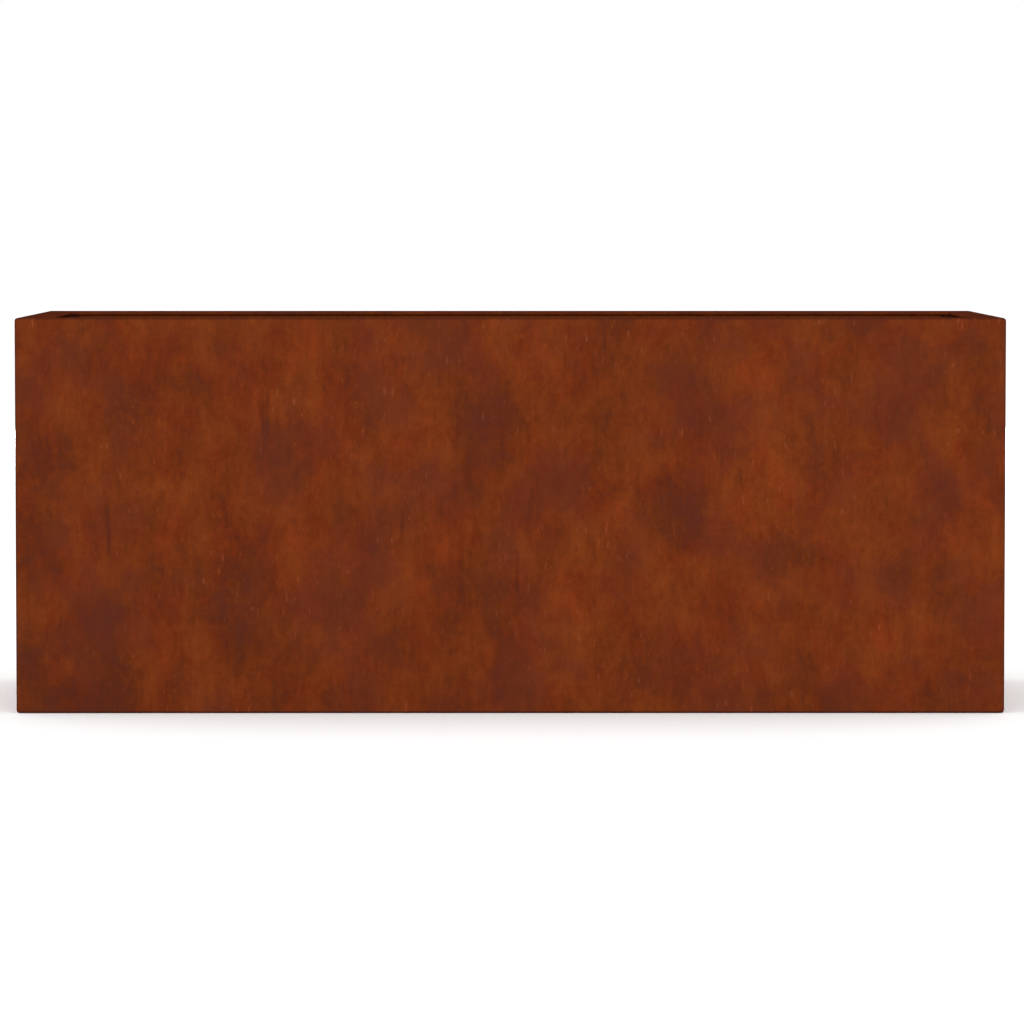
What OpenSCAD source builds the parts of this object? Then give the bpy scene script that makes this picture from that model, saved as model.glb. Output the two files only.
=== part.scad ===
// Planter box of folded weathering steel: four hemmed wall panels bolted to inside corner angles,
// a drained tray on three runners, a cross brace, and four levelling feet hidden by the skirt.
// Origin: centre of the footprint, on the ground. X runs along the box, the front faces -Y, Z is up.

/* [Box] */
// Outside length of the box
box_l = 1000; // [700:10:1400]
// Outside depth of the box, front to rear
box_w = 400; // [300:10:600]
// Outside height of the box
box_h = 400; // [300:10:600]

/* [Wall panels] */
// Thickness of the wall and tray sheet
sheet_t = 2; // [1.5:0.5:3]
// Inside radius of every fold, apart from the corner angles' and the hem's
fold_r = 1; // [0.5:0.5:2]
// Width of the rim folded inward at the top
rim_w = 25; // [22:1:50]
// Length of the hem folded back under the rim
hem_l = 10; // [6:1:12]
// Open gap inside the hem
hem_gap = 0.5; // [0.2:0.1:1]
// Width of the return folded inward at the foot of each wall
return_w = 25; // [20:1:40]
// Gap between two folded edges at a mitred corner
mitre_gap = 0.6; // [0.2:0.1:2]
// Gap between the edge of an end panel and the long panel that it meets
butt_gap = 0.3; // [0.1:0.1:1]

/* [Corner angles] */
// Length of each leg of a corner angle
angle_leg = 30; // [26:1:45]
// Thickness of a corner angle
angle_t = 2; // [1.5:0.5:3]
// Inside radius of the fold in a corner angle
angle_r = 2; // [1:0.5:3]
// Clearance between an angle's ends and the folds of the walls above and below it
angle_end_gap = 0.5; // [0.5:0.5:5]

/* [Studs, washers and nuts] */
// Thread diameter of a weld stud
stud_d = 6; // [5:1:8]
// Length of a weld stud, from the wall's inner face to its tip
stud_l = 14; // [12:1:20]
// Diameter of the flange at a weld stud's root
stud_flange_d = 7.5; // [7:0.5:10]
// Height of that flange
stud_flange_h = 0.8; // [0.6:0.1:1.2]
// Distance of each stud from the inside corner of the walls
stud_inset = 17; // [16:1:20]
// Number of studs up each leg
stud_rows = 3; // [2:1:4]
// Height of the lowest stud above the tray
stud_low = 30; // [20:1:60]
// Depth of the highest stud below the rim, on the long walls
stud_high = 80; // [60:1:120]
// How much higher the studs sit on the end walls, so that a spanner reaches both
stud_stagger = 20; // [14:1:30]
// Radial clearance between a stud's flange and the hole that it passes through
hole_gap = 0.25; // [0.1:0.05:0.5]
// Outside diameter of a washer
washer_d = 12; // [11:1:18]
// Thickness of a washer
washer_t = 1.6; // [1:0.2:2.4]
// Radial clearance between a washer and its stud
washer_gap = 0.2; // [0.1:0.05:0.5]
// Width of a nut across its flats
nut_af = 10; // [9:1:13]
// Height of a nut
nut_h = 5; // [4:0.5:7]
// Radial clearance between a nut and the thread that it runs on
thread_gap = 0.05; // [0.02:0.01:0.1]

/* [Cross brace] */
// Width of the brace along the box
brace_w = 40; // [36:1:60]
// Thickness of the brace
brace_t = 2; // [1.5:0.5:3]
// Depth of the brace's side flanges
brace_flange = 15; // [8:1:25]
// Height of the brace's end tabs
brace_tab = 35; // [30:1:50]
// Depth of the brace's top face below the rim
brace_drop = 130; // [90:5:170]
// Distance between the two studs that hold each end of the brace
brace_pitch = 20; // [16:1:24]
// Length of flat brace, without side flanges, next to each end tab
brace_relief = 12; // [8:1:20]

/* [Tray and runners] */
// Height of the tray's underside above the ground
base_h = 50; // [48:1:80]
// Clearance between the tray's edge and the corner angles
tray_gap = 1; // [0.5:0.5:5]
// Depth of the tray's down-turned edge
tray_lip = 18; // [8:1:25]
// Diameter of a drain hole
drain_d = 16; // [8:1:25]
// Number of drain holes along each row in each half of the tray
drain_cols = 3; // [1:1:4]
// Distance of each row of drain holes from the outer face of the nearer long wall
drain_edge = 100; // [60:5:130]
// Width of a runner
runner_w = 60; // [50:1:80]
// Thickness of a runner
runner_t = 2; // [1.5:0.5:3]
// Distance of the outer runners from the ends of the box
runner_inset = 100; // [70:5:160]
// Clearance between a runner's ends and the tray's down-turned edge
runner_gap = 1; // [0.5:0.5:5]

/* [Levelling feet] */
// Height of a foot's pad
pad_h = 8; // [7:0.5:10]
// Chamfer round a pad's two edges
pad_chamfer = 1; // [0.5:0.25:2]
// Clearance between a pad and the legs of its runner
pad_side_gap = 3; // [2:0.5:6]
// Distance between a pad and the return of the nearer long wall
pad_wall_gap = 10; // [5:1:30]
// Thread diameter of a foot's spindle
spindle_d = 10; // [8:1:12]
// Diameter of the disc at the spindle's root that the pad holds
disc_d = 16; // [14:1:20]
// Thickness of that disc
disc_h = 2; // [1.5:0.5:2.5]
// Thickness of pad under the disc
disc_floor = 3; // [2:0.5:3.5]
// Diameter of the neck between the disc and the hexagon
neck_d = 12; // [10:1:13]
// Running clearance between the spindle's disc and neck and the pad
journal_gap = 0.08; // [0.05:0.01:0.1]
// Width of the spindle's hexagon across its flats
hex_af = 14; // [13:1:17]
// Height of the spindle's hexagon
hex_h = 5; // [4:0.5:6]
// Gap between the pad and the hexagon above it
hex_gap = 0.5; // [0.3:0.1:1]
// Gap between the hexagon and the jam nut when the foot is right in
jam_gap = 0.5; // [0.3:0.1:6]
// Width across the flats of the jam nut and of the weld nut
foot_nut_af = 17; // [15:1:19]
// Height of the jam nut
jam_h = 5; // [4:0.5:6]
// Height of the weld nut
weld_nut_h = 8; // [6:0.5:9]
// Thickness of a foot plate
plate_t = 3; // [2:0.5:5]
// Length of a foot plate along its runner
plate_l = 50; // [30:1:60]
// Radial clearance between a spindle and the hole in its foot plate
plate_hole_gap = 0.5; // [0.3:0.1:1]
// Gap between the spindle's tip and the runner above it when the foot is right in
tip_gap = 1; // [0.5:0.5:3]

/* [Hidden] */
$fn = 64;

corten = [0.44, 0.19, 0.09];
dark_corten = [0.33, 0.15, 0.08];
zinc = [0.62, 0.64, 0.66];
rubber = [0.09, 0.09, 0.09];

// Signs that pick a side: left and front are negative, right and rear are positive.
LEFT = -1;
RIGHT = 1;
FRONT = -1;
REAR = 1;

// How far the hole cutters run past the faces that they cut.
past = 1;
// The chamfer on a thread's end, as a share of its diameter.
thread_end = 1 / 8;

fold_out = fold_r + sheet_t;
hem_out = hem_gap / 2 + sheet_t;
mitre_shift = mitre_gap / sqrt(2);
mitre_depth = max(rim_w, return_w) + past;

angle_out = angle_r + angle_t;
angle_low = sheet_t + fold_r + angle_end_gap;
angle_high = box_h - sheet_t - fold_r - angle_end_gap;

stud_first = base_h + sheet_t + stud_low;
stud_last = box_h - stud_high;
stud_step = (stud_last - stud_first) / (stud_rows - 1);
stud_heights = [for (row = [0:stud_rows - 1]) stud_first + row * stud_step];
stud_hole_d = stud_flange_d + 2 * hole_gap;

brace_top = box_h - brace_drop;
brace_out = fold_r + brace_t;
brace_stud_z = brace_top + (brace_out + brace_tab) / 2;

tray_l = box_l - 2 * (sheet_t + angle_t + tray_gap);
tray_w = box_w - 2 * (sheet_t + angle_t + tray_gap);
tray_top = base_h + sheet_t;

runner_out = fold_r + runner_t;
runner_l = tray_w - 2 * (sheet_t + runner_gap);
runner_x = box_l / 2 - runner_inset;

pad_d = runner_w - 2 * (runner_t + pad_side_gap);
foot_y = box_w / 2 - return_w - pad_wall_gap - pad_d / 2;
disc_low = disc_floor + journal_gap;
hex_low = pad_h + hex_gap;
jam_low = hex_low + hex_h + jam_gap;
plate_low = jam_low + jam_h;
weld_nut_low = plate_low + plate_t;
spindle_top = base_h - runner_t - tip_gap;

// A quarter of a sheet's fold about the origin, in the quadrant where x and y are negative.
module fold(t, r) {
    intersection() {
        difference() {
            circle(r + t);
            circle(r);
        }
        translate([-r - t, -r - t]) square(r + t);
    }
}

// Extrudes a profile drawn in depth and height along X, centred on the origin.
module along_x(length) {
    rotate([90, 0, 90]) linear_extrude(length, center = true) children();
}

// Puts a wall's own frame, with its outer face at y = 0 and y pointing inward, on each side of the box.
module at_front() {
    translate([0, -box_w / 2, 0]) children();
}

module at_rear() {
    rotate(180) translate([0, -box_w / 2, 0]) children();
}

module at_left() {
    rotate(-90) translate([0, -box_l / 2, 0]) children();
}

module at_right() {
    rotate(90) translate([0, -box_l / 2, 0]) children();
}

// Puts the inside corner of the walls at the origin, with x and y pointing into the box.
module in_corner(side_x, side_y) {
    translate([side_x * (box_l / 2 - sheet_t), side_y * (box_w / 2 - sheet_t), 0])
        mirror([side_x > 0 ? 1 : 0, 0, 0])
            mirror([0, side_y > 0 ? 1 : 0, 0])
                children();
}

// Stud sites in a corner's frame, with z along the stud and its root on the wall's inner face.
module long_wall_sites() {
    for (z = stud_heights)
        translate([stud_inset, 0, z]) rotate([-90, 0, 0]) children();
}

module end_wall_sites() {
    for (z = stud_heights)
        translate([0, stud_inset, z + stud_stagger]) rotate([0, 90, 0]) children();
}

// The same for the two studs that hold one end of the brace, in a wall's frame.
module brace_sites() {
    for (side = [-1, 1])
        translate([side * brace_pitch / 2, sheet_t, brace_stud_z]) rotate([-90, 0, 0]) children();
}

// The folded top edge of a wall: fold, rim, and the hem turned back under it.
module rim_profile() {
    translate([fold_out, box_h - fold_out]) mirror([0, 1]) fold(sheet_t, fold_r);
    translate([fold_out, box_h - sheet_t]) square([rim_w - fold_out - hem_out, sheet_t]);
    translate([rim_w - hem_out, box_h - hem_out])
        for (side = [0, 1])
            mirror([0, side]) mirror([1, 0]) fold(sheet_t, hem_gap / 2);
    translate([rim_w - hem_out - hem_l, box_h - 2 * hem_out]) square([hem_l, sheet_t]);
}

// The folded bottom edge of a wall.
module return_profile() {
    translate([fold_out, fold_out]) fold(sheet_t, fold_r);
    translate([fold_out, 0]) square([return_w - fold_out, sheet_t]);
}

// What the mitres leave of the folded edges, seen from above.
module mitre_plan(length) {
    polygon([
        [-length / 2 + mitre_shift, 0],
        [length / 2 - mitre_shift, 0],
        [length / 2 - mitre_shift - mitre_depth, mitre_depth],
        [-length / 2 + mitre_shift + mitre_depth, mitre_depth]
    ]);
}

// One wall: a flat sheet, plain at its ends, with mitred folds along its top and bottom.
module wall_panel(length, flat_length) {
    color(corten) union() {
        translate([-flat_length / 2, 0, fold_out]) cube([flat_length, sheet_t, box_h - 2 * fold_out]);
        intersection() {
            along_x(length) {
                rim_profile();
                return_profile();
            }
            linear_extrude(box_h) mitre_plan(length);
        }
    }
}

module long_panel() {
    wall_panel(box_l, box_l);
}

module end_panel() {
    wall_panel(box_w, box_w - 2 * (sheet_t + butt_gap));
}

// A stud welded to a wall, along z from the wall's inner face.
module weld_stud() {
    tip = stud_d * thread_end;
    color(zinc) union() {
        cylinder(d = stud_flange_d, h = stud_flange_h);
        cylinder(d = stud_d, h = stud_l - tip);
        translate([0, 0, stud_l - tip]) cylinder(d1 = stud_d, d2 = stud_d - 2 * tip, h = tip);
    }
}

module long_panel_studs(side_y) {
    for (side_x = [LEFT, RIGHT])
        in_corner(side_x, side_y) long_wall_sites() weld_stud();
}

module end_panel_studs(side_x) {
    for (side_y = [FRONT, REAR])
        in_corner(side_x, side_y) end_wall_sites() weld_stud();
}

module front_panel_studs() {
    long_panel_studs(FRONT);
    at_front() brace_sites() weld_stud();
}

module rear_panel_studs() {
    long_panel_studs(REAR);
    at_rear() brace_sites() weld_stud();
}

// A cutter for the hole that a stud passes through, in a sheet that lies against the wall.
module stud_hole(t) {
    translate([0, 0, -past]) cylinder(d = stud_hole_d, h = t + 2 * past);
}

// The L-shaped post inside a corner, which both walls are bolted to.
module corner_angle(side_x, side_y) {
    color(dark_corten) in_corner(side_x, side_y) difference() {
        translate([0, 0, angle_low]) linear_extrude(angle_high - angle_low) {
            translate([angle_out, angle_out]) fold(angle_t, angle_r);
            translate([angle_out, 0]) square([angle_leg - angle_out, angle_t]);
            translate([0, angle_out]) square([angle_t, angle_leg - angle_out]);
        }
        long_wall_sites() stud_hole(angle_t);
        end_wall_sites() stud_hole(angle_t);
    }
}

// A washer lying on a sheet of thickness t, in a stud's frame.
module washer(t) {
    color(zinc) translate([0, 0, t]) difference() {
        cylinder(d = washer_d, h = washer_t);
        translate([0, 0, -past]) cylinder(d = stud_d + 2 * washer_gap, h = washer_t + 2 * past);
    }
}

// A hexagon prism of that width across its flats.
module hexagon(af, h) {
    cylinder(d = af / cos(30), h = h, $fn = 6);
}

// A nut on that washer.
module nut(t) {
    color(zinc) translate([0, 0, t + washer_t]) difference() {
        hexagon(nut_af, nut_h);
        translate([0, 0, -past]) cylinder(d = stud_d + 2 * thread_gap, h = nut_h + 2 * past);
    }
}

module corner_washers(side_x, side_y) {
    in_corner(side_x, side_y) {
        long_wall_sites() washer(angle_t);
        end_wall_sites() washer(angle_t);
    }
}

module corner_nuts(side_x, side_y) {
    in_corner(side_x, side_y) {
        long_wall_sites() nut(angle_t);
        end_wall_sites() nut(angle_t);
    }
}

// One half of the brace in the front wall's frame: an up-turned tab, a flat, and a flanged channel.
module half_brace() {
    channel_l = box_w / 2 - sheet_t - brace_out - brace_relief;
    web_w = brace_w - 2 * brace_out;
    difference() {
        translate([0, sheet_t, 0]) along_x(brace_w) {
            translate([brace_out, brace_top - brace_t + brace_out]) fold(brace_t, fold_r);
            translate([0, brace_top - brace_t + brace_out])
                square([brace_t, brace_tab - brace_out + brace_t]);
            translate([brace_out, brace_top - brace_t]) square([brace_relief, brace_t]);
        }
        brace_sites() stud_hole(brace_t);
    }
    translate([0, box_w / 2, brace_top]) rotate([90, 0, 0]) linear_extrude(channel_l) {
        translate([-web_w / 2, -brace_t]) square([web_w, brace_t]);
        for (side = [0, 1])
            mirror([side, 0]) {
                translate([-web_w / 2, -brace_out]) mirror([0, 1]) fold(brace_t, fold_r);
                translate([-brace_w / 2, -brace_flange]) square([brace_t, brace_flange - brace_out]);
            }
    }
}

module cross_brace() {
    color(dark_corten) union() {
        at_front() half_brace();
        at_rear() half_brace();
    }
}

module brace_washers() {
    at_front() brace_sites() washer(brace_t);
    at_rear() brace_sites() washer(brace_t);
}

module brace_nuts() {
    at_front() brace_sites() nut(brace_t);
    at_rear() brace_sites() nut(brace_t);
}

// One down-turned edge of the tray, on the side where y is negative.
module tray_edge(length, offset) {
    translate([0, -offset, tray_top]) along_x(length - 2 * fold_out) {
        translate([fold_out, -fold_out]) mirror([0, 1]) fold(sheet_t, fold_r);
        translate([0, -tray_lip]) square([sheet_t, tray_lip - fold_out]);
    }
}

// The tray that carries the soil: a sheet with down-turned edges and rows of drain holes.
module drain_tray() {
    flat_l = tray_l - 2 * fold_out;
    flat_w = tray_w - 2 * fold_out;
    color(corten) difference() {
        union() {
            translate([-flat_l / 2, -flat_w / 2, base_h]) cube([flat_l, flat_w, sheet_t]);
            for (turn = [0, 180]) {
                rotate(turn) tray_edge(tray_l, tray_w / 2);
                rotate(turn + 90) tray_edge(tray_w, tray_l / 2);
            }
        }
        for (half = [LEFT, RIGHT], row = [FRONT, REAR], column = [1:drain_cols])
            translate([
                half * runner_x * column / (drain_cols + 1),
                row * (box_w / 2 - drain_edge),
                base_h - past
            ])
                cylinder(d = drain_d, h = sheet_t + 2 * past);
    }
}

// A channel, open below, that stands on the returns of the long walls and carries the tray.
module runner(x) {
    web_w = runner_w - 2 * runner_out;
    color(dark_corten) translate([x, 0, 0]) rotate([90, 0, 0]) linear_extrude(runner_l, center = true) {
        translate([-web_w / 2, base_h - runner_t]) square([web_w, runner_t]);
        for (side = [0, 1])
            mirror([side, 0]) {
                translate([-web_w / 2, base_h - runner_out]) mirror([0, 1]) fold(runner_t, fold_r);
                translate([-runner_w / 2, sheet_t]) square([runner_t, base_h - runner_out - sheet_t]);
            }
    }
}

// The places of the four feet, on the ground.
module foot_site(side_x, side_y) {
    translate([side_x * runner_x, side_y * foot_y, 0]) children();
}

module each_foot() {
    for (side_x = [LEFT, RIGHT], side_y = [FRONT, REAR])
        foot_site(side_x, side_y) children();
}

// Plates welded across the outer runners, which the feet screw through.
module foot_plates() {
    plate_w = runner_w - 2 * runner_t;
    color(dark_corten) each_foot() translate([0, 0, plate_low]) difference() {
        translate([-plate_w / 2, -plate_l / 2, 0]) cube([plate_w, plate_l, plate_t]);
        translate([0, 0, -past]) cylinder(d = spindle_d + 2 * plate_hole_gap, h = plate_t + 2 * past);
    }
}

module foot_nut(h) {
    color(zinc) difference() {
        hexagon(foot_nut_af, h);
        translate([0, 0, -past]) cylinder(d = spindle_d + 2 * thread_gap, h = h + 2 * past);
    }
}

module foot_weld_nuts() {
    each_foot() translate([0, 0, weld_nut_low]) foot_nut(weld_nut_h);
}

module foot_jam_nuts() {
    each_foot() translate([0, 0, jam_low]) foot_nut(jam_h);
}

// A foot's pad: a chamfered disc moulded round the spindle's root, with running clearance.
module foot_pad(side_x, side_y) {
    color(rubber) foot_site(side_x, side_y) difference() {
        rotate_extrude() polygon([
            [0, 0],
            [pad_d / 2 - pad_chamfer, 0],
            [pad_d / 2, pad_chamfer],
            [pad_d / 2, pad_h - pad_chamfer],
            [pad_d / 2 - pad_chamfer, pad_h],
            [0, pad_h]
        ]);
        translate([0, 0, disc_floor]) {
            cylinder(d = disc_d + 2 * journal_gap, h = disc_h + 2 * journal_gap);
            cylinder(d = neck_d + 2 * journal_gap, h = pad_h);
        }
    }
}

// A foot's spindle: a disc and neck that turn in the pad, a hexagon for the spanner, and the thread.
module foot_spindle(side_x, side_y) {
    tip = spindle_d * thread_end;
    color(zinc) foot_site(side_x, side_y) union() {
        translate([0, 0, disc_low]) cylinder(d = disc_d, h = disc_h);
        translate([0, 0, disc_low]) cylinder(d = neck_d, h = hex_low - disc_low);
        translate([0, 0, hex_low]) hexagon(hex_af, hex_h);
        translate([0, 0, hex_low]) cylinder(d = spindle_d, h = spindle_top - tip - hex_low);
        translate([0, 0, spindle_top - tip]) cylinder(d1 = spindle_d, d2 = spindle_d - 2 * tip, h = tip);
    }
}

at_front() long_panel();  // front_panel
at_rear() long_panel();  // rear_panel
at_left() end_panel();  // left_panel
at_right() end_panel();  // right_panel
front_panel_studs();
rear_panel_studs();
end_panel_studs(LEFT);  // left_panel_studs
end_panel_studs(RIGHT);  // right_panel_studs
corner_angle(LEFT, FRONT);  // front_left_angle
corner_angle(RIGHT, FRONT);  // front_right_angle
corner_angle(LEFT, REAR);  // rear_left_angle
corner_angle(RIGHT, REAR);  // rear_right_angle
corner_washers(LEFT, FRONT);  // front_left_washers
corner_washers(RIGHT, FRONT);  // front_right_washers
corner_washers(LEFT, REAR);  // rear_left_washers
corner_washers(RIGHT, REAR);  // rear_right_washers
corner_nuts(LEFT, FRONT);  // front_left_nuts
corner_nuts(RIGHT, FRONT);  // front_right_nuts
corner_nuts(LEFT, REAR);  // rear_left_nuts
corner_nuts(RIGHT, REAR);  // rear_right_nuts
cross_brace();
brace_washers();
brace_nuts();
drain_tray();
runner(-runner_x);  // left_runner
runner(0);  // centre_runner
runner(runner_x);  // right_runner
foot_plates();
foot_weld_nuts();
foot_jam_nuts();
foot_pad(LEFT, FRONT);  // front_left_foot_pad
foot_pad(RIGHT, FRONT);  // front_right_foot_pad
foot_pad(LEFT, REAR);  // rear_left_foot_pad
foot_pad(RIGHT, REAR);  // rear_right_foot_pad
foot_spindle(LEFT, FRONT);  // front_left_foot_spindle
foot_spindle(RIGHT, FRONT);  // front_right_foot_spindle
foot_spindle(LEFT, REAR);  // rear_left_foot_spindle
foot_spindle(RIGHT, REAR);  // rear_right_foot_spindle
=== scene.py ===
"""Looks of a long planter box of folded weathering steel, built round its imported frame."""

import sys
import logging
import math
from collections.abc import Callable, Iterable, Sequence
from dataclasses import dataclass
from enum import Enum

import bmesh
import bpy
import numpy as np
from mathutils import Matrix, Vector


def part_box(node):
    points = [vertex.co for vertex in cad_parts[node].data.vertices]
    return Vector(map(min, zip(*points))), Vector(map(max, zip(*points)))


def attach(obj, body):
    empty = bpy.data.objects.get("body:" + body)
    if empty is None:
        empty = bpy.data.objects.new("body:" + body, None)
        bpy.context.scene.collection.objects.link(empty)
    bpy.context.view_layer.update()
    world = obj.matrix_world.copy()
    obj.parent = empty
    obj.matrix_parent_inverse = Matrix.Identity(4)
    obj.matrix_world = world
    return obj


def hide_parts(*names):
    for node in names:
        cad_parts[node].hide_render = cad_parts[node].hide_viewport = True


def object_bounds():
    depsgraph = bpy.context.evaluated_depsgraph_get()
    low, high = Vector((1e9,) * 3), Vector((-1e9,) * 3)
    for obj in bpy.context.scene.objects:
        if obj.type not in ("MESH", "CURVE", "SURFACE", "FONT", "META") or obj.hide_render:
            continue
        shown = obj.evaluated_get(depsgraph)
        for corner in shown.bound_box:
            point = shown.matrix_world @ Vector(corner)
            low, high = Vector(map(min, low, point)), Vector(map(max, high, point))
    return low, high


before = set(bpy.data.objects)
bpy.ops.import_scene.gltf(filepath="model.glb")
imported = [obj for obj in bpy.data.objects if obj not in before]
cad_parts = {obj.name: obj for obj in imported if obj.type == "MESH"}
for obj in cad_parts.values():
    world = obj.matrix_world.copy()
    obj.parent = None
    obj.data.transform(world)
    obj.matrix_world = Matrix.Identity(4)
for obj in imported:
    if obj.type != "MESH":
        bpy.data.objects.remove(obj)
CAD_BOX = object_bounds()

log = logging.getLogger("planter")

MM = 0.001
HALF_LENGTH, HALF_WIDTH, TOP = CAD_BOX[1]
ENDLESS = 1.0  # a hexagon's half width that no turned part reaches, so that the part stays round
FLAT = 0.02  # radians between two faces, up to which they are drawn as one
SHARP = math.radians(32)  # the same, above which the edge between them is rounded
TOUCHING = 0.005 * MM  # points closer than this are merged

Rgb = tuple[int, int, int]
Point2 = tuple[float, float]
Point3 = tuple[float, float, float]
Mesh = bpy.types.Mesh
Piece = bpy.types.Object


def paint(shade: Rgb) -> tuple[float, float, float, float]:
    """An 8-bit display colour as the linear RGBA that a socket holds.

    Args:
        shade: red, green and blue from 0 to 255.

    Returns:
        The colour's linear values, with alpha 1.
    """
    linear = [
        v / 12.92 if v <= 0.04045 else ((v + 0.055) / 1.055) ** 2.4
        for v in (c / 255 for c in shade)
    ]
    return (*linear, 1.0)


# --- node maths ----------------------------------------------------------------------------------


def operator(operation: str, swapped: bool = False) -> "Callable[[Term, Term | float], Term]":
    """The method of Term for one operator.

    Args:
        operation: the Math or Vector Math operation.
        swapped: True for the reflected form, whose own value comes second.

    Returns:
        The method.
    """

    def method(self: "Term", other: "Term | float") -> "Term":
        """The operation's result."""
        return self.pair(operation, other, self) if swapped else self.pair(operation, self, other)

    return method


class Term:
    """A node's output that takes part in arithmetic: each operator adds the node that does it."""

    def __init__(self, graph: "Graph", socket: bpy.types.NodeSocket) -> None:
        """Holds the socket and the graph that it belongs to."""
        self.graph = graph
        self.socket = socket

    def __getitem__(self, key: "str | int") -> "Term":
        """Another output of the same node."""
        return Term(self.graph, self.socket.node.outputs[key])

    @property
    def is_vector(self) -> bool:
        """True for a vector's socket, whose maths goes through Vector Math."""
        return self.socket.type == "VECTOR"

    def pair(self, operation: str, first: "Term | float", second: "Term | float") -> "Term":
        """The Math or Vector Math node for one operator, on two operands."""
        kind = "ShaderNodeVectorMath" if self.is_vector else "ShaderNodeMath"
        return self.graph.add(kind, {"operation": operation}, {0: first, 1: second})

    __add__ = operator("ADD")
    __radd__ = operator("ADD", True)
    __sub__ = operator("SUBTRACT")
    __rsub__ = operator("SUBTRACT", True)
    __truediv__ = operator("DIVIDE")
    __mod__ = operator("FLOORED_MODULO")
    over = operator("GREATER_THAN")
    under = operator("LESS_THAN")

    def __mul__(self, other: "Term | float | Point3") -> "Term":
        """self * other; a vector times one number is scaled.

        Args:
            other: a term, a number or three numbers.

        Returns:
            The product.
        """
        scalar = isinstance(other, (int, float)) or (isinstance(other, Term) and not other.is_vector)
        if self.is_vector and scalar:
            return self.graph.add("ShaderNodeVectorMath", {"operation": "SCALE"}, {0: self, 3: other})
        return self.pair("MULTIPLY", self, other)

    __rmul__ = __mul__

    def __neg__(self) -> "Term":
        """-self."""
        return self * -1.0

    def __abs__(self) -> "Term":
        """The absolute value."""
        return self.call("ABSOLUTE")

    def call(self, operation: str, *others: "Term | float") -> "Term":
        """A Math function of this value, such as COSINE, MINIMUM or FLOOR."""
        return self.graph.add("ShaderNodeMath", {"operation": operation}, dict(enumerate((self, *others))))

    def clamp(self) -> "Term":
        """This value held between 0 and 1."""
        return self.call("MINIMUM", 1.0).call("MAXIMUM", 0.0)

    def smooth(self, low: float, high: float) -> "Term":
        """A soft step from 0 at low to 1 at high, or the other way if high is the lower.

        Args:
            low: the value that gives 0.
            high: the value that gives 1.

        Returns:
            The step.
        """
        sockets = {0: self, 1: low, 2: high, 3: 0.0, 4: 1.0}
        if high < low:
            sockets = {0: self, 1: high, 2: low, 3: 1.0, 4: 0.0}
        return self.graph.add("ShaderNodeMapRange", {"interpolation_type": "SMOOTHSTEP"}, sockets)

    def split(self) -> "tuple[Term, Term, Term]":
        """A vector's three numbers."""
        apart = self.graph.add("ShaderNodeSeparateXYZ", {}, {0: self})
        return apart, apart[1], apart[2]


class Graph:
    """A node tree in the making."""

    def __init__(self, tree: bpy.types.NodeTree) -> None:
        """Holds the tree that nodes are added to."""
        self.tree = tree

    def add(self, kind: str, settings: dict, sockets: dict, out: "str | int" = 0) -> Term:
        """Adds a node of any type.

        Args:
            kind: the node's type.
            settings: its properties, set first; "stops" holds a ramp's colours by place.
            sockets: values or terms by input name or number.
            out: the output to return.

        Returns:
            That output as a term.
        """
        node = self.tree.nodes.new(kind)
        for name, value in settings.items():
            if name == "stops":
                self._set_stops(node.color_ramp, value)
            else:
                setattr(node, name, value)
        for key, value in sockets.items():
            for each in value if isinstance(value, list) else [value]:
                if isinstance(each, Term):
                    self.tree.links.new(each.socket, node.inputs[key])
                else:
                    node.inputs[key].default_value = each
        return Term(self, node.outputs[out]) if node.outputs else None

    @staticmethod
    def _set_stops(ramp: bpy.types.ColorRamp, stops: Sequence[tuple[float, tuple]]) -> None:
        """Gives a colour ramp its stops, in order of place.

        Args:
            ramp: the ramp.
            stops: each stop's place and colour.
        """
        while len(ramp.elements) < len(stops):
            ramp.elements.new(1.0)
        for element, (place, shade) in zip(ramp.elements, stops):
            element.position = place
            element.color = shade

    def join(self, x: "Term | float", y: "Term | float", z: "Term | float") -> Term:
        """A vector from three numbers."""
        return self.add("ShaderNodeCombineXYZ", {}, {0: x, 1: y, 2: z})

    def mix(self, factor: "Term | float", a: "Term | tuple", b: "Term | tuple", blend: str = "MIX") -> Term:
        """Two colours mixed."""
        settings = {"data_type": "RGBA", "blend_type": blend}
        return self.add("ShaderNodeMix", settings, {0: factor, 6: a, 7: b}, 2)

    def noise(
        self, at: Term, scale: float, detail: float = 3.0, rough: float = 0.5, warp: float = 0.0
    ) -> Term:
        """Fractal noise, about 0.5.

        Args:
            at: where it is read.
            scale: lumps per metre.
            detail: octaves above the first.
            rough: how strong each octave is beside the last.
            warp: how far the lumps are pulled about.

        Returns:
            The noise's height.
        """
        sockets = {"Vector": at, "Scale": scale, "Detail": detail, "Roughness": rough, "Distortion": warp}
        return self.add("ShaderNodeTexNoise", {"noise_dimensions": "3D"}, sockets)

    def bump(self, height: Term, strength: float, distance: float) -> Term:
        """The surface's direction where a height in Object coordinates raises it."""
        sockets = {"Strength": strength, "Distance": distance, "Height": height}
        return self.add("ShaderNodeBump", {}, sockets)

    def surface(self, colour: Term, rough: Term, normal: Term, **more: "Term | float") -> Term:
        """The shader, from its colour, roughness, direction and any other sockets by name."""
        sockets = {"Base Color": colour, "Roughness": rough, "Normal": normal, **more}
        return self.add("ShaderNodeBsdfPrincipled", {}, sockets)


# --- finishes ------------------------------------------------------------------------------------


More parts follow.
